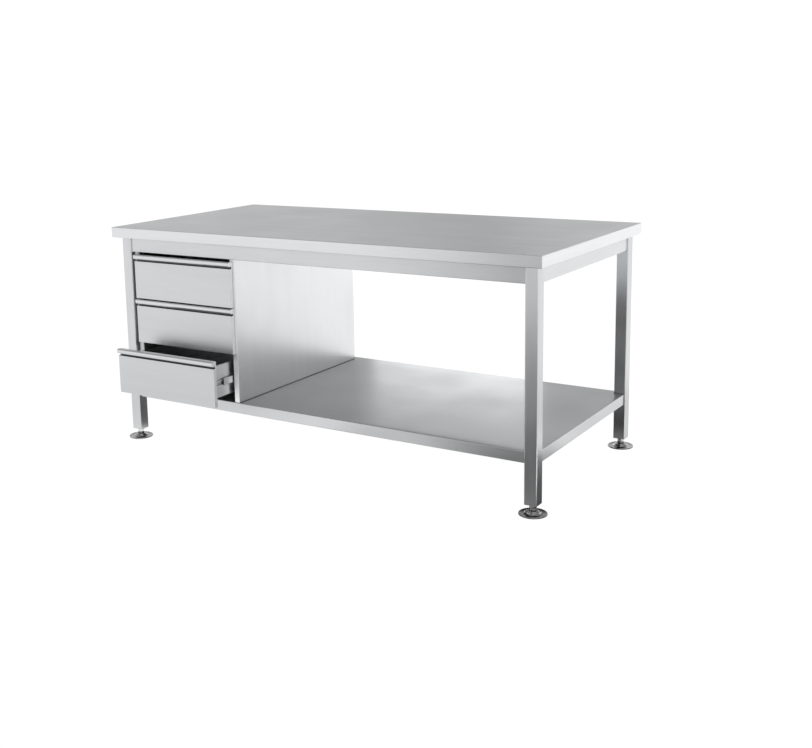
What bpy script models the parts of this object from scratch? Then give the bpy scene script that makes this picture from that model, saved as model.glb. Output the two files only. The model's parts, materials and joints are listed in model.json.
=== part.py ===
"""Stainless steel work table with a block of three drawers and an undershelf.

Units are metres, +Z is up, +X runs along the length and +Y points to the back.
Every size below is measured from the worktop's front left corner on the floor.
The empty named table carries that corner, so that the world origin lies on the
floor under the middle of the whole table, with its open bottom drawer.

The worktop is a folded pan over a core board. It stands on a frame of square
legs and channel rails, with an adjustable foot in each leg. The undershelf is a
second pan, notched around the legs. Two double-skinned walls stand on it and
carry the telescopic slides. The bottom drawer stands a little open.
"""

import math

import bpy
import bmesh
from mathutils import Vector

# Overall size
LENGTH = 1.800
DEPTH = 0.900
HEIGHT = 0.850

# Sheet, folds and the clearance that neighbours keep
SHEET = 0.0015
THIN_SHEET = 0.0012
DRAWER_SHEET = 0.0010
FOLD_RADIUS = 0.0025
GAP = 0.0003

# Worktop
TOP_EDGE = 0.040
TOP_FLANGE = 0.015
BOARD_THICKNESS = 0.025
BOARD_MARGIN = 0.003

# Legs
LEG = 0.045
LEG_WALL = 0.0015
LEG_CORNER = 0.004
LEG_CORNER_STEPS = 3
LEG_INSET_SIDE = 0.025
LEG_INSET_FRONT = 0.030
LEG_INSET_BACK = 0.020
LEG_BOTTOM = 0.035

# Rails under the worktop
RAIL_BOTTOM = 0.753
RAIL_DEPTH = 0.025
RAIL_LIP = 0.010
RAIL_INSET = 0.005

# Undershelf
SHELF_TOP = 0.210
SHELF_EDGE = 0.040
SHELF_FLANGE = 0.012
SHELF_INSET_SIDE = 0.005
SHELF_INSET_FRONT = 0.010
STIFFENER_CROWN = 0.060
STIFFENER_FOOT = 0.020
STIFFENER_HEIGHT = 0.025
STIFFENER_END = 0.120

# Feet
FOOT_RADIUS = 0.047
FOOT_SOCKET_Z = 0.006
FOOT_HUB_Z = 0.0135
HUB_WALL = 0.0045
HUB_ROUND = 0.0025
DISH_CENTER = (0.0325, 0.0145)
DISH_RADIUS = 0.0110
RIM_ROUND = 0.0022
RIM_Z = 0.0026
BASE_CHAMFER = 0.0008
STEM_RADIUS = 0.012
STEM_TOP = 0.095
STEM_CHAMFER = 0.001
INSERT_TOP = 0.075
BORE_CLEARANCE = 0.0004

# Drawer block
WALL = 0.022
WALL_RIGHT_FACE = 0.571
WALL_FRONT = 0.041
WALL_BACK = 0.840
DRAWER_OPENING = 0.448
BACK_PANEL_FOLD = 0.012

# Drawers
DRAWER_PITCH = 0.1755
FIRST_FRONT_Z = 0.222
FRONT_WIDTH = 0.4735
FRONT_THICKNESS = 0.0144
FRONT_FOLD = 0.0015
FRONT_GAP = 0.0006
FACE_HEIGHT = 0.1460
GROOVE_HEIGHT = 0.0080
GROOVE_DEPTH = 0.0095
LIP_HEIGHT = 0.0185
LIP_REACH = 0.0080
LIP_RADIUS = 0.0070
BOX_BOTTOM = 0.0235
BOX_TOP = 0.1460
BOX_DEPTH = 0.600
BOX_RIM = 0.008
BOTTOM_DRAWER_OPEN = 0.115

# Telescopic slides: each member is a channel, nested in the next one. A member's
# numbers are how far its web and its flange ends are from the wall, and half its height.
SLIDE_SPACE = 0.0127
SLIDE_LENGTH = 0.600
SLIDE_SET_BACK = 0.003
SLIDE_HEIGHT_ON_FRONT = 0.080
SLIDE_FOLD = 0.0012
OUTER_MEMBER = (0.0003, 0.0100, 0.0180)
MIDDLE_MEMBER = (0.0035, 0.0098, 0.0130)
INNER_MEMBER = (0.0124, 0.0065, 0.0090)

# The drawers, counted from the bottom one
DRAWER_NAMES = ("bottom", "middle", "top")

# Fineness of the round shapes, and the least bend that counts as a fold
LIP_STEPS = 4
ROUND_STEPS = 40
BEND_ANGLE = math.radians(35)

# How far the open drawer stands out in front of the worktop, and the feet behind it
FRONT_REACH = BOTTOM_DRAWER_OPEN + FRONT_THICKNESS + FRONT_GAP + LIP_REACH - WALL_FRONT
BACK_REACH = FOOT_RADIUS - LEG / 2 - LEG_INSET_BACK

BOARD_TOP = HEIGHT - SHEET - GAP
BOARD_BOTTOM = BOARD_TOP - BOARD_THICKNESS
FRAME_TOP = BOARD_BOTTOM - GAP
LEG_LEFT_X = LEG_INSET_SIDE
LEG_RIGHT_X = LENGTH - LEG_INSET_SIDE - LEG
LEG_FRONT_Y = LEG_INSET_FRONT
LEG_BACK_Y = DEPTH - LEG_INSET_BACK - LEG
DRAWER_MID_X = WALL_RIGHT_FACE - WALL - DRAWER_OPENING / 2

LEG_CORNERS = {
    "front_left": (LEG_LEFT_X, LEG_FRONT_Y),
    "front_right": (LEG_RIGHT_X, LEG_FRONT_Y),
    "back_left": (LEG_LEFT_X, LEG_BACK_Y),
    "back_right": (LEG_RIGHT_X, LEG_BACK_Y),
}


# ---------------------------------------------------------------- scene helpers

def clear_scene():
    for obj in list(bpy.data.objects):
        bpy.data.objects.remove(obj, do_unlink=True)


def new_collection(name):
    collection = bpy.data.collections.new(name)
    bpy.context.scene.collection.children.link(collection)
    return collection


def finish(name, color, roughness, metallic=1.0):
    material = bpy.data.materials.new(name)
    material.use_nodes = True
    shader = material.node_tree.nodes["Principled BSDF"]
    shader.inputs["Base Color"].default_value = (*color, 1.0)
    shader.inputs["Roughness"].default_value = roughness
    shader.inputs["Metallic"].default_value = metallic
    return material


def empty(name, location, parent=None):
    marker = bpy.data.objects.new(name, None)
    marker.location = location
    marker.parent = parent
    PARTS.objects.link(marker)
    return marker


def mesh_object(name, bm, look, parent, location=(0, 0, 0), collection=None):
    """Turn a bmesh into an object that has a material of its own."""
    mesh = bpy.data.meshes.new(name)
    bm.to_mesh(mesh)
    bm.free()
    obj = bpy.data.objects.new(name, mesh)
    obj.location = location
    obj.parent = parent
    (collection or PARTS).objects.link(obj)
    if look:
        mesh.materials.append(finish(name, *look))
    return obj


def fold(obj, radius=FOLD_RADIUS, segments=2):
    """Round every sharp bend of a sheet."""
    bend = obj.modifiers.new("bend", "BEVEL")
    bend.width = radius
    bend.segments = segments
    bend.limit_method = "ANGLE"
    bend.angle_limit = BEND_ANGLE
    return obj


def thicken(obj, thickness):
    """Give an open sheet its thickness, on the side away from its normals."""
    sheet = obj.modifiers.new("sheet", "SOLIDIFY")
    sheet.thickness = thickness
    sheet.offset = -1.0
    sheet.use_even_offset = True
    return obj


# -------------------------------------------------------------- shape builders

def corner_box(low, high):
    """A bmesh box between two corners."""
    bm = bmesh.new()
    low = Vector(low)
    high = Vector(high)
    bmesh.ops.create_cube(bm, size=1.0)
    bmesh.ops.scale(bm, vec=high - low, verts=bm.verts)
    bmesh.ops.translate(bm, vec=(low + high) / 2, verts=bm.verts)
    return bm


def remove_sides(bm, directions):
    """Delete the faces of a bmesh that look along any of the directions."""
    doomed = [
        face for face in bm.faces
        if any(face.normal.dot(Vector(way)) > 0.99 for way in directions)
    ]
    bmesh.ops.delete(bm, geom=doomed, context="FACES")


def open_box(name, low, high, open_sides, thickness, look, parent, radius=FOLD_RADIUS, segments=2):
    """A box of sheet that is open on the named sides."""
    bm = corner_box(low, high)
    bm.normal_update()
    remove_sides(bm, open_sides)
    obj = mesh_object(name, bm, look, parent)
    return thicken(fold(obj, radius, segments), thickness)


def offset_outline(outline, distance):
    """Move each side of a counter-clockwise right-angled outline inwards."""
    moved = []
    for index, (x, y) in enumerate(outline):
        before = outline[index - 1]
        after = outline[(index + 1) % len(outline)]
        shift = Vector((0, 0))
        for start, end in ((before, (x, y)), ((x, y), after)):
            side = (Vector(end) - Vector(start)).normalized()
            shift += Vector((-side.y, side.x)) * distance
        moved.append((x + shift.x, y + shift.y))
    return moved


def pan(name, outline, sheet_z, edge_z, flange, thickness, look, parent):
    """A flat sheet with its rim folded to edge_z and turned inwards again."""
    bm = bmesh.new()
    corners = [bm.verts.new((x, y, sheet_z)) for x, y in outline]
    bm.faces.new(corners)
    rim = list(bm.edges)
    wall = bmesh.ops.extrude_edge_only(bm, edges=rim)["geom"]
    wall_verts = [item for item in wall if isinstance(item, bmesh.types.BMVert)]
    bmesh.ops.translate(bm, vec=(0, 0, edge_z - sheet_z), verts=wall_verts)
    lower = [edge for edge in bm.edges if all(vert in wall_verts for vert in edge.verts)]
    turned = bmesh.ops.extrude_edge_only(bm, edges=lower)["geom"]
    inner = dict(zip(outline, offset_outline(outline, flange)))
    for vert in (item for item in turned if isinstance(item, bmesh.types.BMVert)):
        nearest = min(outline, key=lambda point: (Vector(point) - vert.co.xy).length)
        vert.co.x, vert.co.y = inner[nearest]
    bmesh.ops.recalc_face_normals(bm, faces=bm.faces)
    return thicken(fold(mesh_object(name, bm, look, parent)), thickness)


def strip(name, profile, start, end, along, thickness, look, parent, radius=FOLD_RADIUS):
    """A folded strip: an open profile, pulled along X or Y from start to end.

    The profile holds (across, z) pairs, where across is Y for a strip along X.
    """
    bm = bmesh.new()
    if along == "X":
        line = [bm.verts.new((start, across, z)) for across, z in profile]
        pull = Vector((end - start, 0, 0))
    else:
        line = [bm.verts.new((across, start, z)) for across, z in profile]
        pull = Vector((0, end - start, 0))
    edges = [bm.edges.new(pair) for pair in zip(line, line[1:])]
    pulled = bmesh.ops.extrude_edge_only(bm, edges=edges)["geom"]
    far = [item for item in pulled if isinstance(item, bmesh.types.BMVert)]
    bmesh.ops.translate(bm, vec=pull, verts=far)
    bmesh.ops.recalc_face_normals(bm, faces=bm.faces)
    obj = mesh_object(name, bm, look, parent)
    if radius:
        fold(obj, radius)
    return thicken(obj, thickness)


def turned(name, profile, look, parent, location, steps=ROUND_STEPS):
    """A body of revolution about Z, from (radius, z) pairs, top to bottom."""
    bm = bmesh.new()
    line = [bm.verts.new((radius, 0, z)) for radius, z in profile]
    for pair in zip(line, line[1:]):
        bm.edges.new(pair)
    obj = mesh_object(name, bm, look, parent, location)
    spin = obj.modifiers.new("spin", "SCREW")
    spin.axis = "Z"
    spin.steps = steps
    spin.render_steps = steps
    spin.use_merge_vertices = True
    spin.merge_threshold = 0.00001
    spin.use_smooth_shade = True
    return obj


def arc(center, radius, start, end, steps):
    """Points on an arc, with its angles in degrees."""
    points = []
    for step in range(steps + 1):
        angle = math.radians(start + (end - start) * step / steps)
        points.append((center[0] + radius * math.cos(angle), center[1] + radius * math.sin(angle)))
    return points


# --------------------------------------------------------------------- finishes

POLISHED_TOP = ((0.66, 0.67, 0.68), 0.28)
BRUSHED = ((0.62, 0.63, 0.64), 0.34)
SATIN = ((0.58, 0.59, 0.60), 0.38)
POLISHED = ((0.70, 0.70, 0.71), 0.16)
ZINC = ((0.56, 0.57, 0.58), 0.42)
BOARD = ((0.78, 0.76, 0.72), 0.70, 0.0)
INSERT = ((0.03, 0.03, 0.03), 0.55, 0.0)


# ----------------------------------------------------------------------- pieces

def add_worktop(table):
    outline = [(0, 0), (LENGTH, 0), (LENGTH, DEPTH), (0, DEPTH)]
    pan("worktop", outline, HEIGHT, HEIGHT - TOP_EDGE, TOP_FLANGE, SHEET, POLISHED_TOP, table)
    margin = SHEET + BOARD_MARGIN
    low = (margin, margin, BOARD_BOTTOM)
    high = (LENGTH - margin, DEPTH - margin, BOARD_TOP)
    mesh_object("worktop_board", corner_box(low, high), BOARD, table)


def add_legs(table):
    for corner, (x, y) in LEG_CORNERS.items():
        low = (x, y, LEG_BOTTOM)
        high = (x + LEG, y + LEG, FRAME_TOP)
        ends = ((0, 0, 1), (0, 0, -1))
        open_box(f"leg_{corner}", low, high, ends, LEG_WALL, BRUSHED, table,
                 LEG_CORNER, LEG_CORNER_STEPS)


def channel(face, inward):
    """The profile of a rail whose web is at face and whose lips point inward."""
    back = face + inward * RAIL_DEPTH
    return [
        (back, RAIL_BOTTOM + RAIL_LIP),
        (back, RAIL_BOTTOM),
        (face, RAIL_BOTTOM),
        (face, FRAME_TOP),
        (back, FRAME_TOP),
        (back, FRAME_TOP - RAIL_LIP),
    ]


def add_rails(table):
    x_start = LEG_LEFT_X + LEG + GAP
    x_end = LEG_RIGHT_X - GAP
    y_start = LEG_FRONT_Y + LEG + GAP
    y_end = LEG_BACK_Y - GAP
    front = LEG_FRONT_Y + RAIL_INSET
    back = LEG_BACK_Y + LEG - RAIL_INSET
    left = LEG_LEFT_X + RAIL_INSET
    right = LEG_RIGHT_X + LEG - RAIL_INSET
    look = BRUSHED
    strip("rail_front", channel(front, 1), x_start, x_end, "X", THIN_SHEET, look, table)
    strip("rail_back", channel(back, -1), x_start, x_end, "X", THIN_SHEET, look, table)
    strip("rail_left", channel(left, 1), y_start, y_end, "Y", THIN_SHEET, look, table)
    strip("rail_right", channel(right, -1), y_start, y_end, "Y", THIN_SHEET, look, table)
    bay_middle = (WALL_RIGHT_FACE + LEG_RIGHT_X) / 2
    wall_left = DRAWER_MID_X - DRAWER_OPENING / 2 - WALL / 2
    wall_right = DRAWER_MID_X + DRAWER_OPENING / 2 + WALL / 2
    cross_start = front + RAIL_DEPTH + GAP
    cross_end = back - RAIL_DEPTH - GAP
    places = {"left": wall_left, "middle": wall_right, "right": bay_middle}
    for name, middle in places.items():
        low = (middle - RAIL_DEPTH / 2, cross_start, RAIL_BOTTOM + GAP)
        high = (middle + RAIL_DEPTH / 2, cross_end, FRAME_TOP)
        ends = ((0, 1, 0), (0, -1, 0))
        open_box(f"cross_rail_{name}", low, high, ends, THIN_SHEET, SATIN, table)


def shelf_outline():
    """The undershelf's outline, notched around the legs."""
    left = LEG_LEFT_X + SHELF_INSET_SIDE
    right = LENGTH - left
    front = LEG_FRONT_Y + SHELF_INSET_FRONT
    back = LEG_BACK_Y + LEG - SHELF_INSET_FRONT
    notch_left = LEG_LEFT_X + LEG + GAP
    notch_right = LEG_RIGHT_X - GAP
    notch_front = LEG_FRONT_Y + LEG + GAP
    notch_back = LEG_BACK_Y - GAP
    return [
        (notch_left, front), (notch_right, front),
        (notch_right, notch_front), (right, notch_front),
        (right, notch_back), (notch_right, notch_back),
        (notch_right, back), (notch_left, back),
        (notch_left, notch_back), (left, notch_back),
        (left, notch_front), (notch_left, notch_front),
    ]


def add_undershelf(table):
    outline = shelf_outline()
    edge = SHELF_TOP - SHELF_EDGE
    pan("undershelf", outline, SHELF_TOP, edge, SHELF_FLANGE, SHEET, POLISHED_TOP, table)
    middle = DEPTH / 2
    crown = STIFFENER_CROWN / 2
    foot = crown + STIFFENER_FOOT
    under = SHELF_TOP - SHEET - GAP
    profile = [
        (middle - foot, under),
        (middle - crown, under),
        (middle - crown, under - STIFFENER_HEIGHT),
        (middle + crown, under - STIFFENER_HEIGHT),
        (middle + crown, under),
        (middle + foot, under),
    ]
    strip("undershelf_stiffener", profile, STIFFENER_END, LENGTH - STIFFENER_END, "X",
          THIN_SHEET, SATIN, table)


def foot_profile():
    """The dished flange of a foot, from the socket's floor over the hub to the base."""
    socket = STEM_RADIUS + BORE_CLEARANCE
    hub = arc((socket + HUB_WALL, FOOT_HUB_Z - HUB_ROUND), HUB_ROUND, 90, 0, 3)
    dish = arc(DISH_CENTER, DISH_RADIUS, 200, 270, 5)
    rim = arc((FOOT_RADIUS - RIM_ROUND, RIM_Z), RIM_ROUND, 90, 0, 4)
    return [
        (0, FOOT_SOCKET_Z),
        (socket, FOOT_SOCKET_Z),
        (socket, FOOT_HUB_Z),
        *hub,
        *dish,
        *rim,
        (FOOT_RADIUS, BASE_CHAMFER),
        (FOOT_RADIUS - BASE_CHAMFER, 0),
        (0, 0),
    ]


def add_insert(corner, x, y, table, cutters):
    """The threaded insert, a square plug in the leg with a bore for the stem."""
    name = f"foot_insert_{corner}"
    half = LEG / 2 - LEG_WALL - GAP
    low = (x - half, y - half, LEG_BOTTOM + GAP)
    high = (x + half, y + half, INSERT_TOP)
    plug = mesh_object(name, corner_box(low, high), INSERT, table)
    fold(plug, LEG_CORNER - LEG_WALL, LEG_CORNER_STEPS)
    bore = bmesh.new()
    radius = STEM_RADIUS + BORE_CLEARANCE
    bmesh.ops.create_cone(bore, cap_ends=True, segments=ROUND_STEPS, radius1=radius,
                          radius2=radius, depth=INSERT_TOP)
    middle = (x, y, (LEG_BOTTOM + INSERT_TOP) / 2)
    cutter = mesh_object(f"bore_{corner}", bore, None, table, middle, cutters)
    cutter.hide_render = True
    cutter.display_type = "WIRE"
    cut = plug.modifiers.new("bore", "BOOLEAN")
    cut.operation = "DIFFERENCE"
    cut.solver = "EXACT"
    cut.object = cutter


def add_feet(table, cutters):
    for corner, (leg_x, leg_y) in LEG_CORNERS.items():
        x = leg_x + LEG / 2
        y = leg_y + LEG / 2
        axis = empty(f"foot_axis_{corner}", (x, y, 0), table)
        add_insert(corner, x, y, table, cutters)
        turned(f"foot_flange_{corner}", foot_profile(), POLISHED, axis, (0, 0, 0))
        stem = [
            (0, STEM_TOP),
            (STEM_RADIUS - STEM_CHAMFER, STEM_TOP),
            (STEM_RADIUS, STEM_TOP - STEM_CHAMFER),
            (STEM_RADIUS, FOOT_SOCKET_Z + GAP),
            (0, FOOT_SOCKET_Z + GAP),
        ]
        turned(f"foot_stem_{corner}", stem, POLISHED, axis, (0, 0, 0))


def add_drawer_walls(table):
    for side, sign in (("left", -1), ("right", 1)):
        inner = DRAWER_MID_X + sign * DRAWER_OPENING / 2
        outer = inner + sign * WALL
        low = (min(inner, outer), WALL_FRONT, SHELF_TOP + GAP)
        high = (max(inner, outer), WALL_BACK, RAIL_BOTTOM - GAP)
        open_box(f"drawer_wall_{side}", low, high, ((0, 0, 1),), THIN_SHEET, BRUSHED, table)
    half = DRAWER_OPENING / 2 - GAP
    low = (DRAWER_MID_X - half, WALL_BACK - BACK_PANEL_FOLD, SHELF_TOP + GAP)
    high = (DRAWER_MID_X + half, WALL_BACK, RAIL_BOTTOM - GAP)
    open_box("drawer_unit_back", low, high, ((0, -1, 0),), THIN_SHEET, BRUSHED, table)


def front_profile():
    """Side outline of a drawer front as (y, z), from its rear plane at the bottom."""
    face = -FRONT_THICKNESS
    groove_back = face + GROOVE_DEPTH
    nose = face - LIP_REACH
    lip_bottom = FACE_HEIGHT + GROOVE_HEIGHT
    top = lip_bottom + LIP_HEIGHT
    lower = arc((nose + LIP_RADIUS, lip_bottom + LIP_RADIUS), LIP_RADIUS, 270, 180, LIP_STEPS)
    upper = arc((nose + LIP_RADIUS, top - LIP_RADIUS), LIP_RADIUS, 180, 90, LIP_STEPS)
    return [
        (0, 0), (face, 0),
        (face, FACE_HEIGHT), (groove_back, FACE_HEIGHT), (groove_back, lip_bottom),
        *lower, *upper,
        (0, top),
    ]


def add_front(name, drawer):
    """A hollow front, folded over its handle groove and lip, with a rear liner."""
    bm = bmesh.new()
    half = FRONT_WIDTH / 2
    outline = [bm.verts.new((-half, y, z)) for y, z in front_profile()]
    side = bm.faces.new(outline)
    pulled = bmesh.ops.extrude_face_region(bm, geom=[side])["geom"]
    far = [item for item in pulled if isinstance(item, bmesh.types.BMVert)]
    bmesh.ops.translate(bm, vec=(FRONT_WIDTH, 0, 0), verts=far)
    bmesh.ops.recalc_face_normals(bm, faces=bm.faces)
    bm.normal_update()
    rear = [face for face in bm.faces if all(abs(vert.co.y) < GAP for vert in face.verts)]
    bmesh.ops.delete(bm, geom=rear, context="FACES")
    shell = mesh_object(f"{name}_front", bm, BRUSHED, drawer)
    thicken(fold(shell, FRONT_FOLD), DRAWER_SHEET)
    margin = DRAWER_SHEET + GAP
    top = front_profile()[-1][1]
    low = (-half + margin, -GAP - DRAWER_SHEET, margin)
    high = (half - margin, -GAP, top - margin)
    mesh_object(f"{name}_liner", corner_box(low, high), SATIN, drawer)


def add_box(name, drawer):
    """The drawer's box: an open pan with its rim turned inwards."""
    half = DRAWER_OPENING / 2 - SLIDE_SPACE
    near = GAP
    outline = [(-half, near), (half, near), (half, BOX_DEPTH), (-half, BOX_DEPTH)]
    pan(f"{name}_box", outline, BOX_BOTTOM, BOX_TOP, BOX_RIM, DRAWER_SHEET, SATIN, drawer)


def slide_member(name, member, parent, sign):
    """One channel of a slide, with its web upright and its flanges level."""
    web, flange_end, half_height = member
    face = DRAWER_OPENING / 2
    web_x = sign * (face - web)
    end_x = sign * (face - flange_end)
    z = SLIDE_HEIGHT_ON_FRONT
    profile = [
        (end_x, z + half_height),
        (web_x, z + half_height),
        (web_x, z - half_height),
        (end_x, z - half_height),
    ]
    start = SLIDE_SET_BACK
    end = start + SLIDE_LENGTH
    strip(name, profile, start, end, "Y", DRAWER_SHEET, ZINC, parent, SLIDE_FOLD)


def add_slides(name, table_side, runner, drawer):
    for side, sign in (("left", -1), ("right", 1)):
        stem = f"{name}_slide_{side}"
        slide_member(f"{stem}_outer", OUTER_MEMBER, table_side, sign)
        slide_member(f"{stem}_middle", MIDDLE_MEMBER, runner, sign)
        slide_member(f"{stem}_inner", INNER_MEMBER, drawer, sign)


def add_drawers(table):
    for index, level in enumerate(DRAWER_NAMES):
        name = f"drawer_{level}"
        opening = BOTTOM_DRAWER_OPEN if level == "bottom" else 0
        z = FIRST_FRONT_Z + index * DRAWER_PITCH
        fixed = empty(f"{name}_station", (DRAWER_MID_X, WALL_FRONT, z), table)
        runner = empty(f"{name}_runner", (0, -opening / 2, 0), fixed)
        drawer = empty(f"{name}_carriage", (0, -opening, 0), fixed)
        front = empty(f"{name}_front_plane", (0, -FRONT_GAP, 0), drawer)
        add_front(name, front)
        add_box(name, drawer)
        add_slides(name, fixed, runner, drawer)


def build():
    cutters = new_collection("cutters")
    middle_y = (DEPTH + BACK_REACH - FRONT_REACH) / 2
    table = empty("table", (-LENGTH / 2, -middle_y, 0))
    add_worktop(table)
    add_legs(table)
    add_rails(table)
    add_undershelf(table)
    add_feet(table, cutters)
    add_drawer_walls(table)
    add_drawers(table)


clear_scene()
PARTS = new_collection("stainless_work_table")
build()
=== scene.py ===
import json
import math

import bmesh
import bpy
from mathutils import Matrix, Vector

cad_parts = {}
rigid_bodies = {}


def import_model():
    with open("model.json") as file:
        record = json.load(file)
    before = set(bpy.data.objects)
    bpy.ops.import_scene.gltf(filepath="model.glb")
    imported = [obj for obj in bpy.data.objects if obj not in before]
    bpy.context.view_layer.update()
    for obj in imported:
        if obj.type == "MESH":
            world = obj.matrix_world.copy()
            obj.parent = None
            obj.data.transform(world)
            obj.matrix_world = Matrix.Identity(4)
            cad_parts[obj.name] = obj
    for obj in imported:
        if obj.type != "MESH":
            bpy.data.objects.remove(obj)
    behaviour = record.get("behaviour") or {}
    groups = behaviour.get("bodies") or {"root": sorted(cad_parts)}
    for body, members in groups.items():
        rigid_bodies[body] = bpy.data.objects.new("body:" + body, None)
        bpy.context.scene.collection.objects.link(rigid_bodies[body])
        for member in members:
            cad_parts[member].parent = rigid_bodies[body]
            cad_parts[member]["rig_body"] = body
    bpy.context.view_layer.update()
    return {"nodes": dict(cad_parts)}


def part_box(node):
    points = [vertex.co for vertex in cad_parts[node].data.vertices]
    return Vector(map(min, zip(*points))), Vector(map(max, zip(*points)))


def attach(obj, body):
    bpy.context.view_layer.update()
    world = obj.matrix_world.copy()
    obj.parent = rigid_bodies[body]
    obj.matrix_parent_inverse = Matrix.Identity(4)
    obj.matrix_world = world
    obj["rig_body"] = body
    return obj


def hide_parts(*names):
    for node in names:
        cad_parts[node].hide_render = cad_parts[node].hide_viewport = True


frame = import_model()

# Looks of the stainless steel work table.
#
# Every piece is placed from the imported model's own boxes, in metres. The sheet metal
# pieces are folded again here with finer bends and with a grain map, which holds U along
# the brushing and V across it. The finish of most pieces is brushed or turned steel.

GRAIN_MAP = "grain"
X, Y, Z = range(3)

# How far an edge turns, in degrees, before it counts as a corner or as a bend
CORNER_TURN = 50
BEND_TURN = 35
# A face points along an axis if its normal has this much of it
FACING = 0.7
# Steps in a small rounding's arc
ROUND_STEPS = 8

# Sheet metal of the table, as in the CAD
SHEET = 0.0015
THIN_SHEET = 0.0012
DRAWER_SHEET = 0.0010
FOLD_RADIUS = 0.0025
TOP_EDGE = 0.040
TOP_FLANGE = 0.015
SHELF_FLANGE = 0.012
RAIL_LIP = 0.010
LEG_CORNER = 0.004
BOX_RIM = 0.008
STIFFENER_FOOT = 0.020
GAP = 0.0003
BOARD_EDGE = 0.0008
LINER_EDGE = 0.0003

# Weld beads: they start this drop below the worktop and go this far in under a rail. Each
# tapers from its tip, a share of its radius, and has rings for its ripples
BEAD_RADIUS = 0.0019
BEAD_DROP = 0.001
BEAD_RETURN = 0.020
BEAD_RIPPLE = 0.00022
BEAD_PITCH = 0.0017
BEAD_RINGS = 5
BEAD_TIP = 0.45
BEAD_START = 0.55
BEAD_TAPER = 0.004

# A drawer front's folds, from its lower edge up
FACE_HEIGHT = 0.146
GROOVE_HEIGHT = 0.008
GROOVE_DEPTH = 0.0095
LIP_REACH = 0.008
LIP_RADIUS = 0.007
FRONT_FOLD = 0.0014
LEVEL_TOLERANCE = 0.0002

# The material slots of a drawer front
PANEL_SLOT, LIP_SLOT, GROOVE_SLOT, END_SLOT = range(4)

# Slides: the rolled lip of a member, its balls in their cages and its screws. The cages and
# the screws lie at shares of the member's length
SLIDE_LIP = 0.0016
SLIDE_FOLD = 0.0010
OUTER_BALL = 0.0018
INNER_BALL = 0.0013
BALLS_IN_CAGE = 8
BALL_PITCH = 0.0085
OUTER_CAGES = (0.05, 0.32)
INNER_CAGES = (0.62, 0.88)
CAGE_WIDTH = 0.0022
CAGE_SHEET = 0.0006
CAGE_END = 0.004
SCREW_HEAD = 0.0032
SCREW_PLACES = (0.06, 0.36, 0.66, 0.95)

# A screw head's height, base and socket as shares of its radius, and the height of the
# socket's floor as a share of the head's
HEAD_HEIGHT = 0.55
HEAD_BASE = 0.98
HEAD_SOCKET = 0.85
HEAD_FLOOR = 0.35

# The screws that hold a drawer's box to its front
FRONT_SCREW_HEAD = 0.0042
FRONT_SCREW_INSET = 0.060
FRONT_SCREW_RISE = 0.030

# Feet: the flange from its hub over the dish to the rim, and the stem with its thread
STEM_RADIUS = 0.012
STEM_CHAMFER = 0.0008
SOCKET_RADIUS = 0.0124
SOCKET_FLOOR = 0.0075
SOCKET_CHAMFER = 0.0006
HUB_TOP = 0.0135
HUB_WALL = 0.0045
HUB_ROUND = 0.0025
DISH_CENTER = (0.0325, 0.0145)
DISH_RADIUS = 0.0110
DISH_TURN = (200, 270)
RIM_ROUND = 0.0022
RIM_Z = 0.0026
BASE_CHAMFER = 0.0008
SOLE_WIDTH = 0.020
SOLE_SLOPE = 0.0015
SOLE_RECESS = 0.0012
THREAD_BOTTOM = 0.040
THREAD_PITCH = 0.003
THREAD_DEPTH = 0.0013
THREAD_ROWS = 8
THREAD_MARGIN = 0.002
THREAD_TIP = 0.0006
# The steps from the stem to the thread's root: distance below the thread and depth
THREAD_RUNOUT = ((0.0022, 0.0), (0.0018, 0.0002), (0.0008, THREAD_DEPTH), (0.0, THREAD_DEPTH))

# The plastic inserts of the legs, with grooves round their sides
INSERT_GROOVES = 5
GROOVE_CUT = 0.0006
GROOVE_SLOPE = 0.0008
GROOVE_WIDTH = 0.0048
FIRST_GROOVE = 0.005
GROOVE_MARGIN = 0.008
BORE_CHAMFER = 0.0010

# Vertices round the turned pieces of a foot
FLANGE_SIDES = 96
STEM_SIDES = 56
INSERT_SIDES = 72

CORNERS = ("front_left", "front_right", "back_left", "back_right")
LEVELS = ("bottom", "middle", "top")
SIDES = {"left": -1, "right": 1}
RAILS = ("front", "back", "left", "right")


# ------------------------------------------------------------------- modelling

def body_of(node):
    return frame["nodes"][node]["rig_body"]


def add_object(name, bm, look, body, place=(0, 0, 0)):
    """A visible piece with its finish and material slot, riding on a body."""
    mesh = bpy.data.meshes.new(name)
    bm.to_mesh(mesh)
    bm.free()
    mesh.shade_smooth()
    mesh.materials.append(look)
    obj = bpy.data.objects.new(name, mesh)
    obj.location = place
    bpy.context.scene.collection.objects.link(obj)
    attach(obj, body)
    return obj


def finished(node, bm, look, place=(0, 0, 0)):
    """The finished piece that stands for a CAD node."""
    obj = add_object(f"{node}_finished", bm, look, body_of(node), place)
    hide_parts(node)
    return obj


def soften(obj, width):
    """Take the sharpness off every corner."""
    edge = obj.modifiers.new("edge", "BEVEL")
    edge.width = width
    edge.segments = 2
    edge.limit_method = "ANGLE"
    edge.angle_limit = math.radians(CORNER_TURN)
    return obj


def even_shading(obj):
    """Shade flat faces as flat and let the rounded edges between them carry the turn."""
    shading = obj.modifiers.new("shading", "WEIGHTED_NORMAL")
    shading.weight = 50
    shading.keep_sharp = True
    return obj


def fold(obj, thickness, radius=FOLD_RADIUS, steps=5):
    """Round the bends of an open sheet, give it its thickness and ease its cut edges."""
    bend = obj.modifiers.new("bend", "BEVEL")
    bend.width = radius
    bend.segments = steps
    bend.limit_method = "ANGLE"
    bend.angle_limit = math.radians(BEND_TURN)
    sheet = obj.modifiers.new("sheet", "SOLIDIFY")
    sheet.thickness = thickness
    sheet.offset = -1.0
    sheet.use_even_offset = True
    soften(obj, thickness * 0.2)
    return even_shading(obj)


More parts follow.
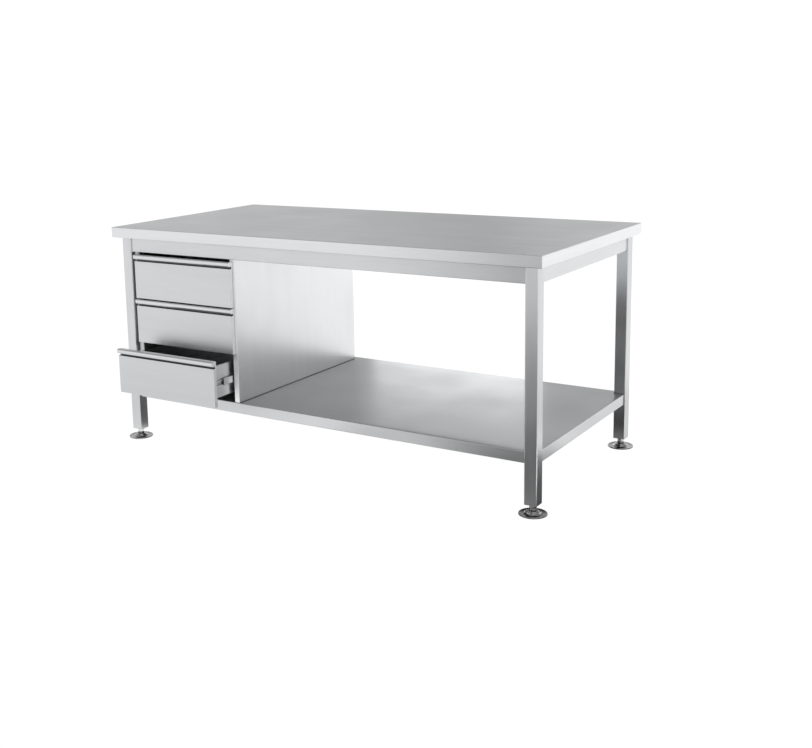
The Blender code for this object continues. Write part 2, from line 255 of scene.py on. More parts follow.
def grain_place(point, grain, end_face, top):
    """A point's place on the grain map: along the grain and across it."""
    if end_face and grain == Z:
        return point.x, point.y
    if end_face and grain == X:
        return point.y, point.z
    if end_face:
        return point.y + top - point.z, point.x + top
    return point[grain], sum(point[axis] for axis in (X, Y, Z) if axis != grain)


def lay_grain(bm, grain):
    """Write the grain map: U runs along the grain axis and V across it, in metres."""
    layer = bm.loops.layers.uv.new(GRAIN_MAP)
    top = max(vert.co.z for vert in bm.verts)
    bm.normal_update()
    for face in bm.faces:
        end_face = abs(face.normal[grain]) > FACING
        for loop in face.loops:
            loop[layer].uv = grain_place(loop.vert.co, grain, end_face, top)
    return bm


def block(low, high):
    """A box between two corners."""
    bm = bmesh.new()
    low = Vector(low)
    high = Vector(high)
    bmesh.ops.create_cube(bm, size=1.0)
    bmesh.ops.scale(bm, vec=high - low, verts=bm.verts)
    bmesh.ops.translate(bm, vec=(low + high) / 2, verts=bm.verts)
    bm.normal_update()
    return bm


def open_block(low, high, open_sides):
    """A box between two corners, with its faces on some sides left out."""
    bm = block(low, high)
    doomed = [
        face for face in bm.faces
        if any(face.normal.dot(Vector(way)) > FACING for way in open_sides)
    ]
    bmesh.ops.delete(bm, geom=doomed, context="FACES")
    return bm


def inset(outline, distance):
    """Move each side of a counter-clockwise right-angled outline inwards."""
    count = len(outline)
    moved = []
    for index in range(count):
        here = Vector(outline[index])
        before = Vector(outline[index - 1])
        after = Vector(outline[(index + 1) % count])
        shift = Vector((0, 0))
        for side in ((here - before).normalized(), (after - here).normalized()):
            shift += Vector((-side.y, side.x)) * distance
        moved.append((here.x + shift.x, here.y + shift.y))
    return moved


def pan_sheet(outline, sheet_z, edge_z, flange):
    """A flat sheet with its rim folded to edge_z and turned inwards again."""
    bm = bmesh.new()
    rings = []
    for ring, z in ((outline, sheet_z), (outline, edge_z), (inset(outline, flange), edge_z)):
        rings.append([bm.verts.new((x, y, z)) for x, y in ring])
    bm.faces.new(rings[0])
    count = len(outline)
    for outer, inner in zip(rings, rings[1:]):
        for index in range(count):
            following = (index + 1) % count
            bm.faces.new((outer[index], outer[following], inner[following], inner[index]))
    bmesh.ops.recalc_face_normals(bm, faces=bm.faces)
    return bm


def add_strip(bm, near, far):
    """Faces between two rows of vertices."""
    for index in range(len(near) - 1):
        bm.faces.new((near[index], near[index + 1], far[index + 1], far[index]))


def pulled(profile, start, end, along):
    """An open profile of (across, z) pairs, pulled along X or Y."""
    def row(station):
        if along == X:
            return [bm.verts.new((station, across, z)) for across, z in profile]
        return [bm.verts.new((across, station, z)) for across, z in profile]

    bm = bmesh.new()
    add_strip(bm, row(start), row(end))
    bmesh.ops.recalc_face_normals(bm, faces=bm.faces)
    return bm


def arc(center, radius, start, end, steps):
    """Points on an arc, with its angles in degrees."""
    points = []
    for step in range(steps + 1):
        angle = math.radians(start + (end - start) * step / steps)
        x = center[0] + radius * math.cos(angle)
        y = center[1] + radius * math.sin(angle)
        points.append((x, y))
    return points


def add_rings(bm, rings, count, place=(0, 0, 0), axis=(0, 0, 1), closed=False):
    """Loft rings of (radius, height), each with count vertices, round an axis.

    A radius may be a function of the angle. The ends are capped, unless closed joins the
    last ring to the first.
    """
    turn = Vector((0, 0, 1)).rotation_difference(Vector(axis)).to_matrix()
    loops = []
    for radius, height in rings:
        loop = []
        for index in range(count):
            angle = 2 * math.pi * index / count
            reach = radius(angle) if callable(radius) else radius
            point = Vector((reach * math.cos(angle), reach * math.sin(angle), height))
            loop.append(bm.verts.new(Vector(place) + turn @ point))
        loops.append(loop)
    pairs = list(zip(loops, loops[1:]))
    if closed:
        pairs.append((loops[-1], loops[0]))
    else:
        bm.faces.new(loops[0])
        bm.faces.new(reversed(loops[-1]))
    for first, second in pairs:
        for index in range(count):
            after = (index + 1) % count
            bm.faces.new((first[index], second[index], second[after], first[after]))
    return bm


def square_radius(half, corner):
    """The radius of a square with rounded corners, as a function of the angle."""
    middle = half - corner

    def reach(angle):
        along = abs(math.cos(angle))
        beside = abs(math.sin(angle))
        flat = half / max(along, beside)
        if flat * min(along, beside) <= middle:
            return flat
        rounding = math.sqrt(corner ** 2 - (middle * (along - beside)) ** 2)
        return middle * (along + beside) + rounding
    return reach


def hexagon_radius(across_flats):
    """The radius of a hexagon, as a function of the angle."""
    def reach(angle):
        turned = (angle % (math.pi / 3)) - math.pi / 6
        return across_flats / 2 / math.cos(turned)
    return reach


def add_ball(bm, center, radius):
    place = Matrix.Translation(center)
    bmesh.ops.create_uvsphere(bm, u_segments=14, v_segments=8, radius=radius, matrix=place)


def add_screw(bm, place, axis, radius=SCREW_HEAD):
    """A button head with a hexagon socket, standing on its place."""
    height = radius * HEAD_HEIGHT
    dome = arc((0, 0), 1.0, 4, 62, 5)
    socket = hexagon_radius(radius * HEAD_SOCKET)
    rings = [(radius * HEAD_BASE, 0.0)]
    rings += [(radius * x, height * z / dome[-1][1]) for x, z in dome]
    rings += [(socket, height), (socket, height * HEAD_FLOOR)]
    add_rings(bm, rings, 24, place, axis)


def add_bead(bm, start, end):
    """A weld bead: a rippled round bar between two points."""
    start = Vector(start)
    end = Vector(end)
    length = (end - start).length
    steps = max(6, int(length / BEAD_PITCH * BEAD_RINGS))
    rings = [(BEAD_RADIUS * BEAD_TIP, 0.0)]
    for step in range(1, steps):
        along = length * step / steps
        taper = min(1.0, BEAD_START + min(along, length - along) / BEAD_TAPER)
        ripple = BEAD_RIPPLE * math.sin(2 * math.pi * along / BEAD_PITCH)
        rings.append((BEAD_RADIUS * taper + ripple, along))
    rings.append((BEAD_RADIUS * BEAD_TIP, length))
    add_rings(bm, rings, 12, start, (end - start).normalized())


# -------------------------------------------------------------------- materials

# Noise scales in 1/m, along the grain and across it
STREAK_SCALE = (0.9, 19.0, 1.0)
HAIR_SCALE = (9.0, 1900.0, 1.0)
SCRATCH_SCALE = (0.8, 90.0, 1.0)
SMUDGE_SCALE = (4.5, 4.5, 4.5)
BUMP_HEIGHT = 0.0003
# How much a full streak darkens, lightens and roughens the steel
STREAK_DARK = 0.10
STREAK_LIGHT = 0.08
STREAK_ROUGH = 0.035
# The fine lines' darkest grey, and how much of them shows
HAIR_DARK = 0.86
HAIR_SHARE = 0.35
# Smudges change the roughness between these amounts
SMUDGE_LOW = -0.02
SMUDGE_HIGH = 0.035
# Worn edges, paler and smoother than the faces, and the reach of the shade painted into corners and
# creases
EDGE_WEAR_RADIUS = 0.0022
WORN_COLOR = (0.80, 0.80, 0.81, 1.0)
WORN_SHARE = 0.35
WORN_SMOOTH = 0.08
PAINTED_SHADE_REACH = 0.012
# The turn of the highlight that stretches it across the grain, in whole turns
ACROSS_GRAIN = 0.25


def node_tree(material):
    material.use_nodes = True
    return material.node_tree


def feed(tree, node, inputs):
    """Set or link a node's inputs."""
    for key, value in inputs.items():
        socket = node.inputs[key]
        if isinstance(value, bpy.types.NodeSocket):
            tree.links.new(value, socket)
        else:
            socket.default_value = value
    return node


def put(tree, kind, settings=None, inputs=None):
    """Add a node, set its properties, and set or link its inputs."""
    node = tree.nodes.new(kind)
    for key, value in (settings or {}).items():
        setattr(node, key, value)
    return feed(tree, node, inputs or {})


def noise(tree, coordinates, scale, detail, roughness=0.55, flat=False):
    """Fractal noise, stretched by the scale along each coordinate."""
    place = put(tree, "ShaderNodeMapping", None, {"Vector": coordinates, "Scale": scale})
    settings = {"noise_dimensions": "2D" if flat else "3D"}
    inputs = {"Vector": place.outputs[0], "Scale": 1.0, "Detail": detail, "Roughness": roughness}
    return put(tree, "ShaderNodeTexNoise", settings, inputs).outputs[0]


def span(tree, value, low, high, start=0.3, end=0.7):
    """Map a noise value from start..end to low..high, clamped."""
    return put(tree, "ShaderNodeMapRange", {"clamp": True},
               {"Value": value, "From Min": start, "From Max": end,
                "To Min": low, "To Max": high}).outputs[0]


def math_node(tree, operation, first, second=0.0):
    return put(tree, "ShaderNodeMath", {"operation": operation}, {0: first, 1: second}).outputs[0]


def vector_node(tree, operation, first, second=(0, 0, 0)):
    return put(tree, "ShaderNodeVectorMath", {"operation": operation}, {0: first, 1: second})


def blend(tree, kind, factor, first, second):
    """Mix two colours, each a socket or red, green, blue and 1."""
    return put(tree, "ShaderNodeMix", {"data_type": "RGBA", "blend_type": kind},
               {"Factor": factor, 6: first, 7: second}).outputs[2]


def tint(tree, factor, dark, light):
    return blend(tree, "MIX", factor, (*dark, 1.0), (*light, 1.0))


def grain_nodes(tree, where, ring):
    """The grain coordinates of a finish, and the tangent along them."""
    if not ring:
        settings = {"direction_type": "UV_MAP", "uv_map": GRAIN_MAP}
        grain = put(tree, "ShaderNodeUVMap", {"uv_map": GRAIN_MAP})
        return grain.outputs[0], put(tree, "ShaderNodeTangent", settings).outputs[0]
    x, y, z = put(tree, "ShaderNodeSeparateXYZ", None, {0: where}).outputs
    squares = math_node(tree, "ADD", math_node(tree, "MULTIPLY", x, x),
                        math_node(tree, "MULTIPLY", y, y))
    across = math_node(tree, "ADD", math_node(tree, "SQRT", squares), z)
    grain = put(tree, "ShaderNodeCombineXYZ", None, {0: 0.0, 1: across, 2: 0.0})
    settings = {"direction_type": "RADIAL", "axis": "Z"}
    return grain.outputs[0], put(tree, "ShaderNodeTangent", settings).outputs[0]


def edge_wear(tree):
    """1 on a worn edge and 0 on a flat face, by how far the eased normal turns away."""
    eased = put(tree, "ShaderNodeBevel", {"samples": 4}, {"Radius": EDGE_WEAR_RADIUS})
    normal = put(tree, "ShaderNodeNewGeometry").outputs["Normal"]
    turn = vector_node(tree, "DOT_PRODUCT", eased.outputs[0], normal).outputs["Value"]
    return span(tree, turn, 1.0, 0.0, 0.86, 0.995)


def steel_color(tree, color, grain, streak, wear, streaks, darkest_shade):
    """The streaked colour with its fine lines, paler on worn edges, with shade painted into corners
    and creases.
    """
    dark = tuple(channel * (1.0 - STREAK_DARK * streaks) for channel in color)
    light = tuple(min(1.0, channel * (1.0 + STREAK_LIGHT * streaks)) for channel in color)
    body = tint(tree, span(tree, streak, 0.0, 1.0), dark, light)
    hair = noise(tree, grain, HAIR_SCALE, 3.0, 0.7, True)
    lines = tint(tree, span(tree, hair, 0.0, 1.0), (HAIR_DARK,) * 3, (1.0,) * 3)
    fine = blend(tree, "MULTIPLY", HAIR_SHARE, body, lines)
    pale = math_node(tree, "MULTIPLY", wear, WORN_SHARE)
    worn = blend(tree, "MIX", pale, fine, WORN_COLOR)
    # Painted shade: the colour darkens where ambient occlusion finds a corner or crease
    corner = put(tree, "ShaderNodeAmbientOcclusion", {"samples": 8}, {"Distance": PAINTED_SHADE_REACH})
    unshaded = span(tree, corner.outputs["AO"], 0.0, 1.0, 0.15, 0.80)
    return blend(tree, "MULTIPLY", 1.0, worn, tint(tree, unshaded, (darkest_shade,) * 3, (1.0,) * 3))


def steel_roughness(tree, roughness, streak, smudge, wear, streaks):
    """The roughness follows the streaks and smudges, and worn edges are smoother."""
    swing = STREAK_ROUGH * streaks
    streaked = span(tree, streak, roughness - swing, roughness + swing)
    rough = math_node(tree, "ADD", streaked, span(tree, smudge, SMUDGE_LOW, SMUDGE_HIGH))
    return math_node(tree, "SUBTRACT", rough, math_node(tree, "MULTIPLY", wear, WORN_SMOOTH))


def brushed_steel(name, color, roughness, anisotropy, streaks, darkest_shade=0.2, ring=False):
    """Brushed steel: streaks and fine lines along the grain, smudges and worn edges.

    A ring finish is turned on a lathe, so that its grain runs round the object's Z axis.
    The darkest shade, painted into corners and creases, is the share of the colour left deep in a
    corner.
    """
    material = bpy.data.materials.new(name)
    tree = node_tree(material)
    where = put(tree, "ShaderNodeTexCoord").outputs["Object"]
    grain, tangent = grain_nodes(tree, where, ring)
    streak = noise(tree, grain, STREAK_SCALE, 7.0, 0.78, True)
    smudge = noise(tree, where, SMUDGE_SCALE, 4.0)
    wear = edge_wear(tree)
    groove = noise(tree, grain, SCRATCH_SCALE, 1.0, 0.4, True)
    bump = put(tree, "ShaderNodeBump", None,
               {"Strength": 0.05 * streaks, "Distance": BUMP_HEIGHT, "Height": groove})
    feed(tree, tree.nodes["Principled BSDF"], {
        "Base Color": steel_color(tree, color, grain, streak, wear, streaks, darkest_shade),
        "Roughness": steel_roughness(tree, roughness, streak, smudge, wear, streaks),
        "Normal": bump.outputs[0],
        "Tangent": tangent,
        "Metallic": 1.0,
        "Anisotropic": anisotropy,
        "Anisotropic Rotation": ACROSS_GRAIN,
    })
    return material


def moulded(name, color, roughness, grain_scale):
    """Moulded plastic or board: a mottled colour with a fine pebbled surface."""
    material = bpy.data.materials.new(name)
    tree = node_tree(material)
    where = put(tree, "ShaderNodeTexCoord").outputs["Object"]
    coarse = noise(tree, where, (grain_scale,) * 3, 4.0)
    fine = noise(tree, where, (grain_scale * 6,) * 3, 3.0)
    dark = tuple(channel * 0.82 for channel in color)
    light = tuple(min(1.0, channel * 1.12) for channel in color)
    bump = put(tree, "ShaderNodeBump", None,
               {"Strength": 0.25, "Distance": BUMP_HEIGHT, "Height": fine})
    feed(tree, tree.nodes["Principled BSDF"], {
        "Base Color": tint(tree, span(tree, coarse, 0.0, 1.0), dark, light),
        "Roughness": span(tree, fine, roughness - 0.08, roughness + 0.08),
        "Normal": bump.outputs[0],
    })
    return material


TOP_STEEL = brushed_steel("steel_worktop", (0.75, 0.76, 0.77), 0.32, 0.8, 0.6)
# A darker copy of the frame steel for the shelf's top: painted shade under the worktop
SHADED_SHELF_STEEL = brushed_steel("steel_shelf_shaded", (0.48, 0.49, 0.50), 0.32, 0.4, 0.4)
FRAME_STEEL = brushed_steel("steel_frame", (0.64, 0.65, 0.66), 0.30, 0.75, 0.5)
# A lighter copy of the panel steel for the right wall: painted light on its lit side
LIT_WALL_STEEL = brushed_steel("steel_wall_lit", (0.75, 0.76, 0.77), 0.32, 0.4, 0.3, darkest_shade=0.7)
PANEL_STEEL = brushed_steel("steel_panel", (0.62, 0.63, 0.64), 0.32, 0.4, 0.3, darkest_shade=0.08)
LIP_STEEL = brushed_steel("steel_lip", (0.66, 0.67, 0.68), 0.20, 0.2, 0.4, darkest_shade=0.03)
# A near-white copy of the steel for the fronts' ends and the right wall's front edge: painted
# highlight
LIT_EDGE_STEEL = brushed_steel("steel_edge_lit", (0.95, 0.95, 0.95), 0.45, 0.0, 0.1, darkest_shade=0.9)
# A dark copy of the panel steel for the groove: painted shade in the recess under the lip
SHADED_GROOVE_STEEL = brushed_steel("steel_groove_shaded", (0.26, 0.26, 0.27), 0.42, 0.2, 0.4, darkest_shade=0.02)
DRAWER_STEEL = brushed_steel("steel_drawer", (0.78, 0.79, 0.80), 0.36, 0.5, 0.8)
INNER_STEEL = brushed_steel("steel_inner", (0.56, 0.57, 0.58), 0.40, 0.3, 1.0)
WELD_STEEL = brushed_steel("steel_weld", (0.66, 0.66, 0.66), 0.24, 0.0, 0.5, ring=True)
# A darker copy of the stem steel for the flanges: painted shade on the feet
SHADED_FOOT_STEEL = brushed_steel("steel_foot", (0.42, 0.42, 0.43), 0.14, 0.5, 0.4, ring=True)
STEM_STEEL = brushed_steel("steel_stem", (0.74, 0.74, 0.75), 0.12, 0.5, 0.4, ring=True)
BRIGHT_STEEL = brushed_steel("steel_bright", (0.74, 0.74, 0.75), 0.18, 0.0, 0.3, ring=True)
SLIDE_STEEL = brushed_steel("slide_steel", (0.80, 0.80, 0.81), 0.26, 0.3, 0.4)
BOARD = moulded("core_board", (0.72, 0.69, 0.63), 0.62, 60.0)
PLASTIC = moulded("insert_plastic", (0.03, 0.03, 0.032), 0.50, 220.0)


# ----------------------------------------------------------------------- pieces

def add_worktop():
    low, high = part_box("worktop")
    outline = [(low.x, low.y), (high.x, low.y), (high.x, high.y), (low.x, high.y)]
    sheet = pan_sheet(outline, high.z, high.z - TOP_EDGE, TOP_FLANGE)
    fold(finished("worktop", lay_grain(sheet, X), TOP_STEEL), SHEET)
    low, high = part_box("worktop_board")
    even_shading(soften(finished("worktop_board", block(low, high), BOARD), BOARD_EDGE))


def add_legs():
    for corner in CORNERS:
        node = f"leg_{corner}"
        low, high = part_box(node)
        tube = open_block(low, high, ((0, 0, 1), (0, 0, -1)))
        fold(finished(node, lay_grain(tube, Z), FRAME_STEEL), SHEET, LEG_CORNER, 6)


def rail_axes(side):
    """The axis along a rail and the one across it."""
    return (X, Y) if side in ("front", "back") else (Y, X)


def rail_profile(low, high, face, back):
    return [
        (back, low + RAIL_LIP), (back, low), (face, low),
        (face, high), (back, high), (back, high - RAIL_LIP),
    ]


def add_rails():
    for side in RAILS:
        node = f"rail_{side}"
        low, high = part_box(node)
        along, across = rail_axes(side)
        face, back = low[across], high[across]
        if side in ("back", "right"):
            face, back = back, face
        profile = rail_profile(low.z, high.z, face, back)
        rail = pulled(profile, low[along], high[along], along)
        fold(finished(node, lay_grain(rail, along), FRAME_STEEL), THIN_SHEET)
    for side in ("left", "middle", "right"):
        node = f"cross_rail_{side}"
        tube = open_block(*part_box(node), ((0, 1, 0), (0, -1, 0)))
        fold(finished(node, lay_grain(tube, Y), INNER_STEEL), THIN_SHEET)


def shelf_outline():
    """The shelf's outline, notched round the legs."""
    low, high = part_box("undershelf")
    legs = {corner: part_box(f"leg_{corner}") for corner in CORNERS}
    left = legs["front_left"][1].x + GAP
    right = legs["front_right"][0].x - GAP
    front = legs["front_left"][1].y + GAP
    back = legs["back_left"][0].y - GAP
    return [
        (left, low.y), (right, low.y), (right, front), (high.x, front),
        (high.x, back), (right, back), (right, high.y), (left, high.y),
        (left, back), (low.x, back), (low.x, front), (left, front),
    ]


def add_undershelf():
    """The shelf's pan. Its folded edges have the finish of the frame, and its top a darker copy of
    it: painted shade under the worktop.
    """
    low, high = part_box("undershelf")
    sheet = pan_sheet(shelf_outline(), high.z, low.z, SHELF_FLANGE)
    for face in sheet.faces:
        face.material_index = int(abs(face.normal.z) < FACING)
    shelf = finished("undershelf", lay_grain(sheet, X), SHADED_SHELF_STEEL)
    shelf.data.materials.append(FRAME_STEEL)
    fold(shelf, SHEET)


def add_stiffener():
    """The hat section under the shelf, with a foot on each side."""
    low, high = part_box("undershelf_stiffener")
    front = low.y + STIFFENER_FOOT
    back = high.y - STIFFENER_FOOT
    profile = [
        (low.y, high.z), (front, high.z), (front, low.z),
        (back, low.z), (back, high.z), (high.y, high.z),
    ]
    hat = pulled(profile, low.x, high.x, X)
    fold(finished("undershelf_stiffener", lay_grain(hat, X), INNER_STEEL), THIN_SHEET)


def weld_path(side, end, top):
    """The corners of one bead: down a rail's end on its face, then in under the rail."""
    low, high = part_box(f"rail_{side}")
    along, across = rail_axes(side)
    if side in ("front", "left"):
        face = low[across]
        inside = face + BEAD_RETURN
    else:
        face = high[across]
        inside = face - BEAD_RETURN
    path = []
    for beside, z in ((face, top), (face, low.z), (inside, low.z)):
        point = [0.0, 0.0, z]
        point[along] = (low, high)[end][along]
        point[across] = beside
        path.append(point)
    return path


def add_welds():
    """Beads in the corners between each rail and its two legs."""
    bm = bmesh.new()
    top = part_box("worktop")[0].z - BEAD_DROP
    for side in RAILS:
        for end in (0, 1):
            path = weld_path(side, end, top)
            for first, second in zip(path, path[1:]):
                add_bead(bm, first, second)
    add_object("frame_welds", bm, WELD_STEEL, "table")


def flange_profile(edge):
    """Half the section of a flange with this radius, from its socket over the rim."""
    hub_center = (SOCKET_RADIUS + HUB_WALL, HUB_TOP - HUB_ROUND)
    hub = arc(hub_center, HUB_ROUND, 90, 0, ROUND_STEPS)
    dish = arc(DISH_CENTER, DISH_RADIUS, *DISH_TURN, 2 * ROUND_STEPS)
    rim = arc((edge - RIM_ROUND, RIM_Z), RIM_ROUND, 90, 0, ROUND_STEPS)
    sole = edge - SOLE_WIDTH
    return [
        (SOCKET_RADIUS - SOCKET_CHAMFER, SOCKET_FLOOR),
        (SOCKET_RADIUS, SOCKET_FLOOR + SOCKET_CHAMFER),
        (SOCKET_RADIUS, HUB_TOP - SOCKET_CHAMFER),
        (SOCKET_RADIUS + SOCKET_CHAMFER, HUB_TOP),
        *hub, *dish, *rim,
        (edge, BASE_CHAMFER), (edge - BASE_CHAMFER, 0),
        (sole, 0), (sole - SOLE_SLOPE, SOLE_RECESS),
    ]


def add_turned(node, rings, look, count, closed=False):
    """A finished piece made of rings round the middle of its CAD node, from its foot up."""
    low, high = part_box(node)
    middle = (low + high) / 2
    bm = add_rings(bmesh.new(), rings, count, closed=closed)
    bmesh.ops.recalc_face_normals(bm, faces=bm.faces)
    return finished(node, bm, look, (middle.x, middle.y, low.z))


def add_feet():
    for corner in CORNERS:
        node = f"foot_flange_{corner}"
        low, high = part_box(node)
        profile = flange_profile((high.x - low.x) / 2)
        even_shading(add_turned(node, profile, SHADED_FOOT_STEEL, FLANGE_SIDES))
        add_stem(corner)
        add_insert(corner)


def thread_radius(z):
    """The radius of the stem's thread at a height, as a function of the angle."""
    root = STEM_RADIUS - THREAD_DEPTH

    def reach(angle):
        phase = (z / THREAD_PITCH - angle / (2 * math.pi)) % 1.0
        flank = abs(2 * phase - 1)
        return root + THREAD_DEPTH * min(1.0, max(0.0, 1.6 * flank - 0.3))
    return reach


def add_stem(corner):
    """A plain polished stem below and a thread above, inside the leg."""
    node = f"foot_stem_{corner}"
    low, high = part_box(node)
    height = high.z - low.z
    start = THREAD_BOTTOM - low.z
    end = height - THREAD_MARGIN
    rings = [(STEM_RADIUS - STEM_CHAMFER, 0.0), (STEM_RADIUS, STEM_CHAMFER)]
    rings += [(STEM_RADIUS - depth, start - below) for below, depth in THREAD_RUNOUT]
    rows = int((end - start) / THREAD_PITCH * THREAD_ROWS)
    for row in range(rows):
        z = start + (end - start) * (row + 1) / rows
        rings.append((thread_radius(z), z))
    rings.append((STEM_RADIUS - THREAD_DEPTH - THREAD_TIP, height))
    add_turned(node, rings, STEM_STEEL, STEM_SIDES)


def add_insert(corner):
    """A square plug with rounded corners, grooves round its sides and a bore."""
    node = f"foot_insert_{corner}"
    low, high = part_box(node)
    half = (high.x - low.x) / 2
    height = high.z - low.z
    outer = square_radius(half, LEG_CORNER - SHEET)
    slim = square_radius(half - GROOVE_CUT, LEG_CORNER - SHEET)
    rings = [
        (SOCKET_RADIUS, BORE_CHAMFER), (SOCKET_RADIUS + BORE_CHAMFER, 0.0),
        (slim, 0.0), (outer, GROOVE_CUT),
    ]
    for groove in range(INSERT_GROOVES):
        level = FIRST_GROOVE + (height - GROOVE_MARGIN) * groove / INSERT_GROOVES
        rings += [
            (outer, level), (slim, level + GROOVE_SLOPE),
            (slim, level + GROOVE_WIDTH - GROOVE_SLOPE), (outer, level + GROOVE_WIDTH),
        ]
    rings += [
        (outer, height - GROOVE_CUT), (slim, height),
        (SOCKET_RADIUS + BORE_CHAMFER, height), (SOCKET_RADIUS, height - BORE_CHAMFER),
    ]
    add_turned(node, rings, PLASTIC, INSERT_SIDES, closed=True)


def add_drawer_wall(side, look, edge_look):
    """A wall of the block, folded from the sides round its narrow front edge."""
    node = f"drawer_wall_{side}"
    sheet = open_block(*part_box(node), ((0, 0, 1),))
    for face in sheet.faces:
        face.material_index = int(face.normal.y < -FACING)
    wall = finished(node, lay_grain(sheet, Z), look)
    wall.data.materials.append(edge_look)
    fold(wall, THIN_SHEET)


def add_drawer_block():
    # The right wall and its front edge get lighter copies of the steel, painted light; the left
    # wall's front edge gets the darker inner steel, painted shade
    add_drawer_wall("left", PANEL_STEEL, INNER_STEEL)
    add_drawer_wall("right", LIT_WALL_STEEL, LIT_EDGE_STEEL)
    back = open_block(*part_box("drawer_unit_back"), ((0, -1, 0),))
    fold(finished("drawer_unit_back", lay_grain(back, Z), PANEL_STEEL), THIN_SHEET)


def front_outline(low, high):
    """The section of a drawer front as (y, z) pairs: panel, groove and rolled lip."""
    face = low.y + LIP_REACH
    groove = face + GROOVE_DEPTH
    groove_low = low.z + FACE_HEIGHT
    lip_low = groove_low + GROOVE_HEIGHT
    nose = low.y + LIP_RADIUS
    return [
        (high.y, low.z), (face, low.z), (face, groove_low),
        (groove, groove_low), (groove, lip_low),
        *arc((nose, lip_low + LIP_RADIUS), LIP_RADIUS, 270, 180, ROUND_STEPS),
        *arc((nose, high.z - LIP_RADIUS), LIP_RADIUS, 180, 90, ROUND_STEPS),
        (high.y, high.z),
    ]


def front_slot(face, groove_low):
    """The material slot of a front's face: its end, or its lip, groove or panel by height."""
    if len(face.verts) > 4:
        return END_SLOT
    level = face.calc_center_median().z
    if level > groove_low + GROOVE_HEIGHT + LEVEL_TOLERANCE:
        return LIP_SLOT
    if level > groove_low - LEVEL_TOLERANCE:
        return GROOVE_SLOT
    return PANEL_SLOT


def add_front(level):
    node = f"drawer_{level}_front"
    low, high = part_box(node)
    outline = front_outline(low, high)
    bm = bmesh.new()
    near = [bm.verts.new((low.x, y, z)) for y, z in outline]
    far = [bm.verts.new((high.x, y, z)) for y, z in outline]
    add_strip(bm, near, far)
    bm.faces.new(near)
    bm.faces.new(far)
    bmesh.ops.recalc_face_normals(bm, faces=bm.faces)
    for face in bm.faces:
        face.material_index = front_slot(face, low.z + FACE_HEIGHT)
    front = finished(node, lay_grain(bm, X), PANEL_STEEL)
    # The lip, the groove in painted shade, and the ends in painted highlight
    for look in (LIP_STEEL, SHADED_GROOVE_STEEL, LIT_EDGE_STEEL):
        front.data.materials.append(look)
    fold(front, DRAWER_SHEET, FRONT_FOLD, 4)
    node = f"drawer_{level}_liner"
    liner = lay_grain(block(*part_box(node)), X)
    even_shading(soften(finished(node, liner, INNER_STEEL), LINER_EDGE))


def add_box(level):
    """A drawer's open box, and the screws that hold it to the front."""
    node = f"drawer_{level}_box"
    low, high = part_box(node)
    outline = [(low.x, low.y), (high.x, low.y), (high.x, high.y), (low.x, high.y)]
    sheet = pan_sheet(outline, low.z, high.z, BOX_RIM)
    fold(finished(node, lay_grain(sheet, Y), DRAWER_STEEL), DRAWER_SHEET)
    bm = bmesh.new()
    inside = low.y + DRAWER_SHEET
    for x in (low.x + FRONT_SCREW_INSET, high.x - FRONT_SCREW_INSET):
        for z in (low.z + FRONT_SCREW_RISE, high.z - FRONT_SCREW_RISE):
            add_screw(bm, (x, inside, z), (0, 1, 0), FRONT_SCREW_HEAD)
    add_object(f"drawer_{level}_front_screws", bm, BRIGHT_STEEL, f"drawer_{level}")


def add_member(node, web_at_low):
    """A slide member: a channel with rolled lips, its web at the low or the high side."""
    low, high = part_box(node)
    web, end = (low.x, high.x) if web_at_low else (high.x, low.x)
    profile = [
        (end, high.z - SLIDE_LIP), (end, high.z), (web, high.z),
        (web, low.z), (end, low.z), (end, low.z + SLIDE_LIP),
    ]
    member = pulled(profile, low.y, high.y, Y)
    fold(finished(node, lay_grain(member, Y), SLIDE_STEEL), DRAWER_SHEET, SLIDE_FOLD, 4)


def add_cage(bm, middle, radius):
    """A row of balls along Y in its sheet cage."""
    length = BALL_PITCH * (BALLS_IN_CAGE - 1)
    for ball in range(BALLS_IN_CAGE):
        y = middle.y - length / 2 + BALL_PITCH * ball
        add_ball(bm, (middle.x, y, middle.z), radius)
    size = (CAGE_WIDTH, length + 2 * CAGE_END, CAGE_SHEET)
    place = Matrix.Translation(middle) @ Matrix.Diagonal((*size, 1))
    bmesh.ops.create_cube(bm, size=1.0, matrix=place)


def add_balls(level, side):
    """The balls and cages between the members. They run with the middle member."""
    stem = f"drawer_{level}_slide_{side}"
    outer, middle, inner = (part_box(f"{stem}_{member}") for member in ("outer", "middle", "inner"))
    z = (middle[0].z + middle[1].z) / 2
    bm = bmesh.new()
    rows = (
        (outer, middle, OUTER_BALL, OUTER_CAGES),
        (middle, inner, INNER_BALL, INNER_CAGES),
    )
    for wide, narrow, radius, places in rows:
        lift = ((wide[1].z - DRAWER_SHEET) + narrow[1].z) / 2 - z
        x = (max(wide[0].x, narrow[0].x) + min(wide[1].x, narrow[1].x)) / 2
        for place in places:
            y = middle[1].y - (middle[1].y - middle[0].y) * place
            for sign in (-1, 1):
                add_cage(bm, Vector((x, y, z + sign * lift)), radius)
    add_object(f"{stem}_balls", bm, BRIGHT_STEEL, f"drawer_{level}_runner_{side}")


def add_slide_screws(level, side, sign):
    """The screws that hold a slide's inner member to the drawer."""
    stem = f"drawer_{level}_slide_{side}"
    low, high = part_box(f"{stem}_inner")
    web = high.x - DRAWER_SHEET if sign < 0 else low.x + DRAWER_SHEET
    bm = bmesh.new()
    for share in SCREW_PLACES:
        y = low.y + (high.y - low.y) * share
        add_screw(bm, (web, y, (low.z + high.z) / 2), (sign, 0, 0))
    add_object(f"{stem}_screws", bm, BRIGHT_STEEL, f"drawer_{level}")


